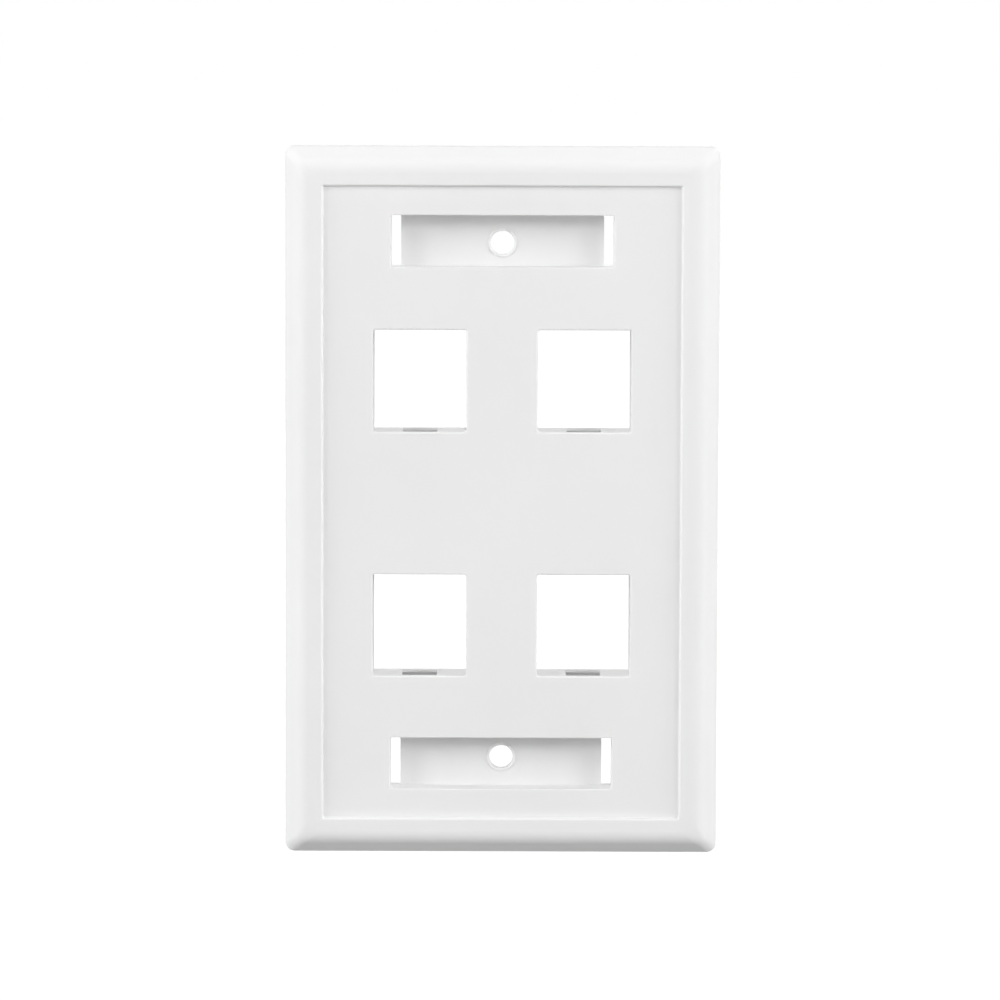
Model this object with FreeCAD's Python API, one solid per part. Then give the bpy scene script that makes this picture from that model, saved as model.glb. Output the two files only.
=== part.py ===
import FreeCAD, Part
import math
import os

Vector = FreeCAD.Vector

# One-gang wall plate for four keystone jacks, moulded in one shot of white ABS.
# It is drawn lying on its back: X across, Y up the wall, Z out of the wall, with the wall at zero.
# turned_upright stands it up, so that it looks along -Y with +Z up.
# The origin is on the wall, midway between the two screw holes. All sizes are in millimetres.

# outside of the plate
plate_width = 69.85
plate_height = 114.3
plate_depth = 7.2
corner_radius = 1.5
shoulder_width = 4.1
bevel_angle = 62.0
crown_radius = 2.5
crown_steps = 7
side_radius = 2.0
side_steps = 3

# sunk panel inside the border
border_width = 5.9
panel_drop = 0.85
step_angle = 80.0
step_crest_radius = 0.25
step_foot_radius = 0.1
step_turns = 3
step_corner_radius = 0.35

# hollow back
wall = 2.0
hollow_corner_radius = 1.0
hollow_slope_start = 1.0
hollow_slope_width = 1.9

# screw holes and label wells
screw_spacing = 83.34
screw_hole_diameter = 3.8
collar_width = 0.45
collar_height = 0.25
collar_steps = 3
gate_nick_diameter = 0.9
gate_nick_depth = 0.3
gate_nick_bearing = 65.0
well_width = 35.7
well_height = 8.3
well_centre_height = 42.1
well_floor = 1.7
well_wall = 1.2
well_corner_radius = 0.25
well_edge_radius = 0.15
well_edge_steps = 2
hook_slot_width = 1.55

# keystone ports
port_width = 14.95
port_height = 16.4
port_offset_across = 13.2
port_offset_up = 19.7
port_corner_radius = 0.35
port_edge_radius = 0.25
port_edge_steps = 3
housing_wall = 1.3
housing_depth = 9.8
catch_bar_depth = 1.6
catch_bar_ramp = 0.5
catch_opening_height = 19.3
toe_lip = 0.9
toe_recess = 0.45
toe_slot_width = 5.6
toe_pocket_depth = 1.1
latch_lip = 1.8
latch_room = 4.4

# ribs and ejector marks behind the panel
rib_thickness = 1.2
rib_setback = 1.0
well_rib_offset = 11.0
ejector_diameter = 4.0
ejector_sink = 0.15
ejector_offset_across = 27.5
ejector_offsets_up = (9.5, 31.0)

# overrun takes cutting shapes clear of a face
overrun = 1.0

panel_front = plate_depth - panel_drop
panel_back = panel_front - wall
housing_back = panel_front - housing_depth
catch_face = housing_back + catch_bar_depth
half_width = plate_width / 2
half_height = plate_height / 2
SIDES = (-1, 1)


def outline(across, up, radius, level):
    """Closed rounded rectangle, from its half sizes, at one level."""
    arcs = []
    for quarter, (right, top) in enumerate(((1, 1), (-1, 1), (-1, -1), (1, -1))):
        centre = Vector(right * (across - radius), top * (up - radius), level)
        turns = [math.radians(90 * quarter + part) for part in (0, 45, 90)]
        points = [centre + Vector(math.cos(a), math.sin(a), 0) * radius for a in turns]
        arcs.append(Part.Arc(*points).toShape())
    edges = []
    for arc, following in zip(arcs, arcs[1:] + arcs[:1]):
        edges.append(arc)
        edges.append(Part.makeLine(arc.Vertexes[-1].Point, following.Vertexes[0].Point))
    return Part.Wire(edges)


def stacked(across, up, radius, profile, ruled=True):
    """Solid through rounded rectangles, one for each (inset, level) of the profile."""
    rings = [outline(across - inset, up - inset, radius, level) for inset, level in profile]
    return Part.makeLoft(rings, True, ruled)


def block(x_range, y_range, z_range):
    """Plain block between two limits along each axis."""
    low = Vector(x_range[0], y_range[0], z_range[0])
    return Part.makeBox(x_range[1] - low.x, y_range[1] - low.y, z_range[1] - low.z, low)


def around(centre, half):
    """Limits at equal distances on both sides of a centre."""
    return (centre - half, centre + half)


def turns(first, last, steps):
    """Angles in radians from one to another, both given in degrees."""
    return [math.radians(first + (last - first) * step / steps) for step in range(steps + 1)]


def crown_profile():
    """Round crown of the border as (inset, level), from the bevel up to the flat."""
    return [(shoulder_width - crown_radius * math.sin(a), plate_depth - crown_radius * (1 - math.cos(a)))
            for a in turns(bevel_angle, 0, crown_steps)]


def side_profile(top):
    """Upright side and its round, up to the foot of the bevel that ends at the given point."""
    steepest = math.radians(bevel_angle)
    foot = side_radius * (1 - math.sin(steepest))
    drop = (top[0] - foot) * math.tan(steepest)
    side_top = top[1] - drop - side_radius * math.cos(steepest)
    return [(side_radius * (1 - math.sin(a)), side_top + side_radius * math.cos(a))
            for a in turns(90, bevel_angle, side_steps)]


def step_profile():
    """Edge of the sunk panel as (inset, level): small foot round, drafted wall, round crest."""
    steepest = math.radians(step_angle)
    rounds = (step_foot_radius + step_crest_radius) * (1 - math.cos(steepest))
    wall_width = (panel_drop - rounds) / math.tan(steepest)
    width = wall_width + (step_foot_radius + step_crest_radius) * math.sin(steepest)
    foot = [(width - step_foot_radius * math.sin(a), panel_front + step_foot_radius * (1 - math.cos(a)))
            for a in turns(0, step_angle, step_turns)]
    crest = [(step_crest_radius * math.sin(a), plate_depth - step_crest_radius * (1 - math.cos(a)))
             for a in turns(step_angle, 0, step_turns)]
    return foot + crest


def mouth_profile(radius, steps, front):
    """Rounded front edge of an opening, widening by the radius as it reaches the front."""
    return [(-radius * (1 - math.cos(a)), front - radius * (1 - math.sin(a)))
            for a in turns(0, 90, steps)]


def opening(across, up, radius, mouth, back):
    """Cutting shape for an opening with a rounded front edge."""
    shaft = [(0, back), mouth[0]]
    clear = [mouth[-1], (mouth[-1][0], mouth[-1][1] + overrun)]
    pieces = [stacked(across, up, radius, levels) for levels in (shaft, mouth, clear)]
    return pieces[0].multiFuse(pieces[1:])


def plate_blank():
    """Border, sunk panel and hollow back, before anything is cut or added."""
    crown = crown_profile()
    side = side_profile(crown[0])
    skirt = stacked(half_width, half_height, corner_radius, [(0, 0)] + side + crown[:1])
    outer = skirt.fuse(stacked(half_width, half_height, corner_radius, crown, ruled=False))
    across = half_width - border_width
    up = half_height - border_width
    sunk = stacked(across, up, step_corner_radius, step_profile() + [(0, plate_depth + overrun)])
    hollow = stacked(half_width, half_height, hollow_corner_radius,
                     [(wall, -overrun), (wall, hollow_slope_start),
                      (wall + hollow_slope_width, panel_back)])
    return outer.cut(sunk).cut(hollow)


def well_box():
    """Box behind the panel that holds a label strip, before the well is sunk in it."""
    across = well_width / 2 + well_wall
    up = well_height / 2 + well_wall
    return block(around(0, across), around(well_centre_height, up), (0, panel_back + overrun))


def well_cut():
    """Label well with a rounded mouth and a hook slot through the floor at each end."""
    mouth = mouth_profile(well_edge_radius, well_edge_steps, panel_front)
    well = opening(well_width / 2, well_height / 2, well_corner_radius, mouth, well_floor)
    well.translate(Vector(0, well_centre_height, 0))
    across = well_width / 2
    slots = [block(sorted((side * across, side * (across - hook_slot_width))),
                   around(well_centre_height, well_height / 2),
                   (-overrun, well_floor + overrun)) for side in SIDES]
    return well.multiFuse(slots)


def screw_collar():
    """Low rounded ring around a screw hole."""
    edge = screw_hole_diameter / 2 + collar_width
    arch = [(edge - collar_height * (1 - math.cos(a)), well_floor + collar_height * math.sin(a))
            for a in turns(0, 90, collar_steps)]
    points = [Vector(0, 0, 0), Vector(edge, 0, 0)] + [Vector(out, 0, level) for out, level in arch]
    points.append(Vector(0, 0, well_floor + collar_height))
    ring = Part.Face(Part.makePolygon(points + points[:1])).revolve(Vector(0, 0, 0), Vector(0, 0, 1))
    ring.translate(Vector(0, screw_spacing / 2, 0))
    return ring


def screw_hole():
    """Clearance hole for a plate screw."""
    return Part.makeCylinder(screw_hole_diameter / 2, plate_depth + 2 * overrun,
                             Vector(0, screw_spacing / 2, -overrun))


def gate_nick(well_side):
    """Nick that the trimmed gate leaves in the top of a collar, on the upper or lower hole."""
    bearing = math.radians(gate_nick_bearing)
    reach = screw_hole_diameter / 2 + collar_width / 2
    return Part.makeCylinder(gate_nick_diameter / 2, gate_nick_depth + overrun,
                             Vector(reach * math.cos(bearing),
                                    well_side * screw_spacing / 2 + reach * math.sin(bearing),
                                    well_floor + collar_height - gate_nick_depth))


def jack_room():
    """Room for a jack behind the lip, as a prism across the port, drawn from its middle."""
    bottom = -port_height / 2
    roof = port_height / 2 + latch_room
    catch_top = bottom + catch_opening_height
    points = [(bottom, panel_front - latch_lip),
              (bottom, housing_back + catch_bar_ramp),
              (bottom - catch_bar_ramp, housing_back),
              (bottom - catch_bar_ramp, housing_back - overrun),
              (catch_top + catch_bar_ramp, housing_back - overrun),
              (catch_top + catch_bar_ramp, housing_back),
              (catch_top, housing_back + catch_bar_ramp),
              (catch_top, catch_face),
              (roof, catch_face),
              (roof, panel_front - latch_lip)]
    corners = [Vector(-port_width / 2, up, out) for up, out in points]
    face = Part.Face(Part.makePolygon(corners + corners[:1]))
    return face.extrude(Vector(port_width, 0, 0))


def port_housing():
    """Outside of one keystone housing behind the panel, drawn from the middle of its port."""
    across = port_width / 2 + housing_wall
    low = -port_height / 2 - housing_wall
    high = port_height / 2 + latch_room + housing_wall
    return block(around(0, across), (low, high), (housing_back, panel_back + overrun))


def toe_cuts():
    """Recess behind the lip for a jack's toe, and the slot below it.

    The slot goes through the floor and runs on as a closed pocket under the catch bar.
    """
    bottom = -port_height / 2
    reach = around(0, toe_slot_width / 2)
    recess = block(reach, (bottom - toe_recess, 0), (catch_face, panel_front - toe_lip))
    slot = block(reach, (bottom - housing_wall - overrun, bottom - toe_recess),
                 (catch_face - toe_pocket_depth, panel_back))
    return [recess, slot]


def port_cut():
    """Everything cut away for one port: mouth, jack room, and the cuts for the jack's toe."""
    mouth = mouth_profile(port_edge_radius, port_edge_steps, panel_front)
    front = opening(port_width / 2, port_height / 2, port_corner_radius, mouth,
                    panel_front - latch_lip)
    return front.multiFuse([jack_room()] + toe_cuts())


def at_every_port(shape):
    """Copies of a shape at the four ports."""
    copies = []
    for right in SIDES:
        for top in SIDES:
            copy = shape.copy()
            copy.translate(Vector(right * port_offset_across, top * port_offset_up, 0))
            copies.append(copy)
    return copies


def at_both_ends(shape):
    """A shape made for the upper end, and its mirror image for the lower end."""
    return [shape, shape.mirror(Vector(0, 0, 0), Vector(0, 1, 0))]


def ribs():
    """Stiffening ribs behind the panel."""
    reach = half_width - wall
    well_edge = well_centre_height - well_height / 2 - well_wall
    well_top = well_centre_height + well_height / 2 + well_wall
    housing_low = port_offset_up - port_height / 2 - housing_wall
    housing_high = port_height / 2 + latch_room + housing_wall - port_offset_up
    half_rib = rib_thickness / 2
    depth = (rib_setback, panel_back + half_rib)
    cross = [block((-reach, reach), around(up, half_rib), depth)
             for up in (-port_offset_up, (housing_low + housing_high) / 2, port_offset_up)]
    spine = block(around(0, half_rib), (-well_edge, well_edge), depth)
    ends = []
    for side in SIDES:
        well_end = side * (well_width / 2 + well_wall)
        ends.append(block(sorted((well_end, side * reach)), around(well_centre_height, half_rib),
                          depth))
        ends.append(block(around(side * well_rib_offset, half_rib), (well_top, half_height - wall),
                          depth))
    for end in ends:
        cross.extend(at_both_ends(end))
    return cross + [spine]


def ejector_marks():
    """Shallow round marks that the ejector pins leave on the back of the panel."""
    marks = []
    for side in SIDES:
        for up in ejector_offsets_up:
            mark = Part.makeCylinder(ejector_diameter / 2, 2 * ejector_sink,
                                     Vector(side * ejector_offset_across, up,
                                            panel_back - ejector_sink))
            marks.extend(at_both_ends(mark))
    return marks


def turned_upright(shape):
    """Stands the drawn plate up, looking along -Y."""
    upright = shape.copy()
    upright.rotate(Vector(0, 0, 0), Vector(1, 0, 0), 90)
    return upright


def faceplate():
    """The whole moulding."""
    added = at_both_ends(well_box()) + at_every_port(port_housing()) + ribs()
    body = plate_blank().multiFuse(added)
    body = body.cut(at_both_ends(well_cut()) + at_every_port(port_cut()))
    body = body.multiFuse(at_both_ends(screw_collar()))
    nicks = [gate_nick(side) for side in SIDES]
    body = body.cut(at_both_ends(screw_hole()) + nicks + ejector_marks())
    return turned_upright(body.removeSplitter())


os.makedirs("parts", exist_ok=True)
plate = faceplate()
plate.exportStep("parts/faceplate.step")
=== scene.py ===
import math

import bpy
from mathutils import Matrix, Vector


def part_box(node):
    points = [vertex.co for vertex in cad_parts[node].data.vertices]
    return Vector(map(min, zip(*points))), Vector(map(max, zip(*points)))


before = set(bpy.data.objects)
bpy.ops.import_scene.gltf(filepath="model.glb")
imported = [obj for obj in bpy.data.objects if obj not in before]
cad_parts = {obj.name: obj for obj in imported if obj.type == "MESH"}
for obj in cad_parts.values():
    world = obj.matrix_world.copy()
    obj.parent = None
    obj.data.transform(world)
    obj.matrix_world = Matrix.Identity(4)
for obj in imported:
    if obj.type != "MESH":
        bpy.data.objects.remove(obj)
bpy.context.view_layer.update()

# Faceplate: a one-gang wall plate for four keystone jacks, one injection moulding in white ABS.
# The cavity side of the mould has a fine spark grain, which keeps the face matt. The core side
# is milled, so the hidden back shows faint cutter lines. Two screws hold it to the wall box.
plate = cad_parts["faceplate"]
abs_refraction = 1.52
abs_gloss_level = 0.25
abs_glow_weight = 1.0
abs_glow_reach = 0.00025  # lengths are in metres
abs_white_least = 0.852
abs_white_most = 0.868
drift_patches = 28  # to the metre, as are all patches here
drift_detail = 3
face_roughness_least = 0.64
face_roughness_most = 0.72
handling_patches = 160
handling_detail = 4
mottle_start = 0.35
mottle_end = 0.65
grain_patches = 6500
grain_detail = 2
grain_strength = 0.12
grain_depth = 0.00002
cutter_pitch = 0.0008
cutter_wander = 0.6
cutter_detail = 1
cutter_strength = 0.1
cutter_depth = 0.00001
back_facing_start = 0.6
back_facing_end = 0.9
wave_radians_per_metre = 20

white_abs = bpy.data.materials.new("white_abs")
white_abs.use_nodes = True
abs_nodes = white_abs.node_tree.nodes
abs_links = white_abs.node_tree.links
abs_nodes.clear()
abs_output = abs_nodes.new("ShaderNodeOutputMaterial")
abs_shader = abs_nodes.new("ShaderNodeBsdfPrincipled")
abs_shader.inputs["IOR"].default_value = abs_refraction
abs_shader.inputs["Specular IOR Level"].default_value = abs_gloss_level
abs_shader.inputs["Subsurface Weight"].default_value = abs_glow_weight
abs_shader.inputs["Subsurface Radius"].default_value = (1.0, 1.0, 1.0)
abs_shader.inputs["Subsurface Scale"].default_value = abs_glow_reach
abs_links.new(abs_shader.outputs["BSDF"], abs_output.inputs["Surface"])
abs_place = abs_nodes.new("ShaderNodeTexCoord")


def abs_mottle(patches, detail):
    """Uneven pattern on the plate, with so many patches to the metre."""
    noise = abs_nodes.new("ShaderNodeTexNoise")
    noise.inputs["Scale"].default_value = patches
    noise.inputs["Detail"].default_value = detail
    abs_links.new(abs_place.outputs["Object"], noise.inputs["Vector"])
    return noise.outputs["Fac"]


def abs_between(pattern, least, most, start=mottle_start, end=mottle_end):
    """The pattern turned into values between two limits."""
    span = abs_nodes.new("ShaderNodeMapRange")
    span.inputs["From Min"].default_value = start
    span.inputs["From Max"].default_value = end
    span.inputs["To Min"].default_value = least
    span.inputs["To Max"].default_value = most
    abs_links.new(pattern, span.inputs["Value"])
    return span.outputs["Result"]


# slow drift of the resin's white, a few centimetres across
abs_tint = abs_nodes.new("ShaderNodeCombineColor")
abs_white = abs_between(abs_mottle(drift_patches, drift_detail),
                        abs_white_least, abs_white_most)
for channel in ("Red", "Green", "Blue"):
    abs_links.new(abs_white, abs_tint.inputs[channel])
abs_links.new(abs_tint.outputs["Color"], abs_shader.inputs["Base Color"])

# patches that handling has polished a little
face_roughness = abs_between(abs_mottle(handling_patches, handling_detail),
                             face_roughness_least, face_roughness_most)
abs_links.new(face_roughness, abs_shader.inputs["Roughness"])

# spark grain on the face and edges
grain = abs_nodes.new("ShaderNodeBump")
grain.inputs["Strength"].default_value = grain_strength
grain.inputs["Distance"].default_value = grain_depth
abs_links.new(abs_mottle(grain_patches, grain_detail), grain.inputs["Height"])

# cutter lines where the surface looks at the wall
cutter = abs_nodes.new("ShaderNodeTexWave")
cutter.bands_direction = "X"
cutter.inputs["Scale"].default_value = math.tau / (wave_radians_per_metre * cutter_pitch)
cutter.inputs["Distortion"].default_value = cutter_wander
cutter.inputs["Detail"].default_value = cutter_detail
abs_links.new(abs_place.outputs["Object"], cutter.inputs["Vector"])
facing = abs_nodes.new("ShaderNodeSeparateXYZ")
abs_links.new(abs_place.outputs["Normal"], facing.inputs["Vector"])
cutter_height = abs_nodes.new("ShaderNodeMath")
cutter_height.operation = "MULTIPLY"
abs_links.new(cutter.outputs["Fac"], cutter_height.inputs[0])
back_facing = abs_between(facing.outputs["Y"], 0, 1, start=back_facing_start, end=back_facing_end)
abs_links.new(back_facing, cutter_height.inputs[1])
milled = abs_nodes.new("ShaderNodeBump")
milled.inputs["Strength"].default_value = cutter_strength
milled.inputs["Distance"].default_value = cutter_depth
abs_links.new(cutter_height.outputs["Value"], milled.inputs["Height"])
abs_links.new(grain.outputs["Normal"], milled.inputs["Normal"])
abs_links.new(milled.outputs["Normal"], abs_shader.inputs["Normal"])

for place in plate.material_slots:
    place.material = white_abs

# Studio floor: a sheet of matt grey card lying below the plate, which gives little bounce.
# The lens and the plate's gloss see white paper. Its glow is painted weaker close to the plate, a
# painted shade there, and the card's diffuse part adds the plate's real shadow on top, so the card
# is a little greyer close to the plate.
floor_drop = 0.03
floor_reach = 6.0
card_bounce = 0.50
card_shade = 0.25
card_glow_near = 0.80
card_glow_far = 1.0
card_glow_start = 0.15
card_glow_end = 0.5

floor_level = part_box("faceplate")[0].z - floor_drop
floor_mesh = bpy.data.meshes.new("studio_floor")
floor_corners = [(across * floor_reach, along * floor_reach, floor_level)
                 for across, along in ((-1, -1), (1, -1), (1, 1), (-1, 1))]
floor_mesh.from_pydata(floor_corners, [], [(0, 1, 2, 3)])
studio_floor = bpy.data.objects.new("studio_floor", floor_mesh)
bpy.context.scene.collection.objects.link(studio_floor)

floor_card = bpy.data.materials.new("floor_card")
floor_card.use_nodes = True
card_nodes = floor_card.node_tree.nodes
card_links = floor_card.node_tree.links
card_nodes.clear()
card_output = card_nodes.new("ShaderNodeOutputMaterial")
card_matt = card_nodes.new("ShaderNodeBsdfDiffuse")
card_matt.inputs["Color"].default_value = (card_bounce, card_bounce, card_bounce, 1)
card_shadowed = card_nodes.new("ShaderNodeBsdfDiffuse")
card_shadowed.inputs["Color"].default_value = (card_shade, card_shade, card_shade, 1)


def straight_sight(nodes, links):
    """One where a surface is seen by the lens, in gloss or through glass, and nought elsewhere."""
    ray = nodes.new("ShaderNodeLightPath")
    sight = ray.outputs["Is Camera Ray"]
    for way in ("Is Glossy Ray", "Is Transmission Ray"):
        either = nodes.new("ShaderNodeMath")
        either.operation = "MAXIMUM"
        links.new(sight, either.inputs[0])
        links.new(ray.outputs[way], either.inputs[1])
        sight = either.outputs["Value"]
    return sight


# white glow that fades in with the distance from the plate; it is weaker near the plate, which
# paints a little shade around the plate
card_place = card_nodes.new("ShaderNodeTexCoord")
card_distance = card_nodes.new("ShaderNodeVectorMath")
card_distance.operation = "LENGTH"
card_links.new(card_place.outputs["Object"], card_distance.inputs[0])
card_fade = card_nodes.new("ShaderNodeMapRange")
card_fade.inputs["From Min"].default_value = card_glow_start
card_fade.inputs["From Max"].default_value = card_glow_end
card_fade.inputs["To Min"].default_value = card_glow_near
card_fade.inputs["To Max"].default_value = card_glow_far
card_links.new(card_distance.outputs["Value"], card_fade.inputs["Value"])
card_white = card_nodes.new("ShaderNodeEmission")
card_links.new(card_fade.outputs["Result"], card_white.inputs["Strength"])

card_seen = card_nodes.new("ShaderNodeAddShader")
card_links.new(card_shadowed.outputs["BSDF"], card_seen.inputs[0])
card_links.new(card_white.outputs["Emission"], card_seen.inputs[1])
card_mix = card_nodes.new("ShaderNodeMixShader")
card_links.new(straight_sight(card_nodes, card_links), card_mix.inputs["Fac"])
card_links.new(card_matt.outputs["BSDF"], card_mix.inputs[1])
card_links.new(card_seen.outputs["Shader"], card_mix.inputs[2])
card_links.new(card_mix.outputs["Shader"], card_output.inputs["Surface"])
floor_mesh.materials.append(floor_card)

# Light tent: cloth all round. It gives no light of its own in front of the plate, where the
# softboxes do the work, and glows faintly behind the plate, to lift the back.
# The lens and the plate's gloss see plain white paper there.
tent_seen = 1.0
tent_front = 0.0
tent_rear = 0.03
tent_blend = 0.25

tent = bpy.data.worlds.new("light_tent")
bpy.context.scene.world = tent
tent.use_nodes = True
tent_nodes = tent.node_tree.nodes
tent_links = tent.node_tree.links
tent_nodes.clear()


def cloth(strength):
    """White cloth of the tent, glowing at one strength."""
    sheet = tent_nodes.new("ShaderNodeBackground")
    sheet.inputs["Color"].default_value = (1, 1, 1, 1)
    sheet.inputs["Strength"].default_value = strength
    return sheet.outputs["Background"]


tent_output = tent_nodes.new("ShaderNodeOutputWorld")
tent_way = tent_nodes.new("ShaderNodeTexCoord")
tent_parts = tent_nodes.new("ShaderNodeSeparateXYZ")
tent_links.new(tent_way.outputs["Generated"], tent_parts.inputs["Vector"])
tent_turn = tent_nodes.new("ShaderNodeMapRange")
tent_turn.inputs["From Min"].default_value = -tent_blend
tent_turn.inputs["From Max"].default_value = tent_blend
tent_links.new(tent_parts.outputs["Y"], tent_turn.inputs["Value"])
tent_round = tent_nodes.new("ShaderNodeMixShader")
tent_links.new(tent_turn.outputs["Result"], tent_round.inputs["Fac"])
tent_links.new(cloth(tent_front), tent_round.inputs[1])
tent_links.new(cloth(tent_rear), tent_round.inputs[2])
tent_mix = tent_nodes.new("ShaderNodeMixShader")
tent_links.new(straight_sight(tent_nodes, tent_links), tent_mix.inputs["Fac"])
tent_links.new(tent_round.outputs["Shader"], tent_mix.inputs[1])
tent_links.new(cloth(tent_seen), tent_mix.inputs[2])
tent_links.new(tent_mix.outputs["Shader"], tent_output.inputs["Surface"])

# Softboxes: square soft lamps that all point at the plate, alike on its left and its right.
# Each row gives the bearing from the front and the height in degrees, the distance and the side
# in metres, and the power in watts.
for name, bearing, height, distance, side, power in (
        ("low_front_softbox", 0, 20, 1.5, 0.5, 3.0),
        ("high_front_softbox", 0, 50, 1.5, 0.5, 4.0),
        ("top_softbox", 0, 80, 1.5, 0.5, 1.5),
        ("near_left_softbox", -50, 20, 1.5, 0.5, 6.5),
        ("near_right_softbox", 50, 20, 1.5, 0.5, 6.5),
        ("side_left_softbox", -75, 5, 1.5, 0.5, 6.5),
        ("side_right_softbox", 75, 5, 1.5, 0.5, 6.5),
        ("wing_left_softbox", -100, 30, 1.5, 0.5, 4.5),
        ("wing_right_softbox", 100, 30, 1.5, 0.5, 4.5),
        ("high_rear_softbox", 180, 60, 1.2, 0.9, 4.0),
        ("rear_softbox", 180, 5, 1.2, 0.9, 2.0)):
    softbox = bpy.data.lights.new(name, "AREA")
    softbox.shape = "SQUARE"
    softbox.size = side
    softbox.energy = power
    stand = bpy.data.objects.new(name, softbox)
    around, above = math.radians(bearing), math.radians(height)
    stand.location = distance * Vector((math.sin(around) * math.cos(above),
                                        -math.cos(around) * math.cos(above), math.sin(above)))
    stand.rotation_euler = (-stand.location).to_track_quat("-Z", "Y").to_euler()
    stand.visible_camera = False
    bpy.context.scene.collection.objects.link(stand)

# Camera: a long lens in front of the plate, a little above it and turned by a hair.
# It aims at a point on the face of the sunk panel, beside the plate's middle.
camera_aim = Vector((-0.00028, -0.00635, 0.00059))
camera_distance = 0.8436
camera_height = math.radians(5.53)
camera_roll = math.radians(0.19)
camera_sensor = 36
camera_focal_length = 189.2
camera_nearest = 0.01

lens = bpy.data.cameras.new("camera")
lens.sensor_width = camera_sensor
lens.lens = camera_focal_length
lens.clip_start = camera_nearest
camera = bpy.data.objects.new("camera", lens)
bpy.context.scene.collection.objects.link(camera)
camera_way = Vector((0, -math.cos(camera_height), math.sin(camera_height)))
camera_place = camera_aim + camera_distance * camera_way
camera_turn = (-camera_way).to_track_quat("-Z", "Y").to_matrix().to_4x4()
camera.matrix_world = (Matrix.Translation(camera_place) @ camera_turn
                       @ Matrix.Rotation(camera_roll, 4, "Z"))
bpy.context.scene.camera = camera
bpy.context.scene.view_settings.view_transform = "Standard"
